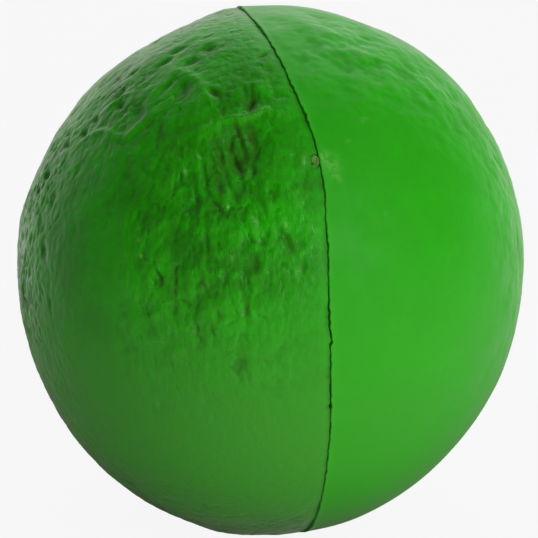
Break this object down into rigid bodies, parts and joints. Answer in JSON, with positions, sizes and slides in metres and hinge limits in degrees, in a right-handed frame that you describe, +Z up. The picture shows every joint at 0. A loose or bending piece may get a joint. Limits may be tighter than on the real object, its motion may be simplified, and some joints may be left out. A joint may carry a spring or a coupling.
{
  "type": "stress ball",
  "caption": "Round foam stress ball with a coloured moulded skin in two halves, a seam all round and a trimmed pour mark; it squeezes and springs back.",
  "frame": {"origin": "middle of the small flat that the ball rests on, at the bottom centre of its box", "axes": "+Z up through the ball, X square to the plane that the seam follows, with the left half at -X and the right half at +X, and the pour mark on the -Y side"},
  "size_m": [0.0652, 0.0654, 0.0669],
  "materials": {
    "foam": "matt open-cell polyurethane foam, cream",
    "green_skin": "satin self-skinned polyurethane with an in-mould colour coat, orange-peel dents on one half",
    "seam_flash": "matt trimmed foam web, dark green",
    "raw_foam": "crumbly cut foam, tan"
  },
  "bodies": {
    "core": {"foam_core": "foam", "parting_flash": "seam_flash", "pour_stub": "raw_foam"},
    "left_half": {"left_skin": "green_skin"},
    "right_half": {"right_skin": "green_skin"}
  },
  "joints": [
    {"name": "left_press", "type": "slide", "parent": "core", "child": "left_half", "axis": [1, 0, 0], "range_m": [0, 0.009], "stiffness_N_per_m": 4000, "deforming": ["foam_core", "parting_flash", "pour_stub", "left_skin"]},
    {"name": "right_press", "type": "slide", "parent": "core", "child": "right_half", "axis": [-1, 0, 0], "range_m": [0, 0.009], "stiffness_N_per_m": 4000, "deforming": ["right_skin"]}
  ],
  "couplings": [
    {"joint": "right_press", "follows": "left_press", "ratio": 1}
  ]
}
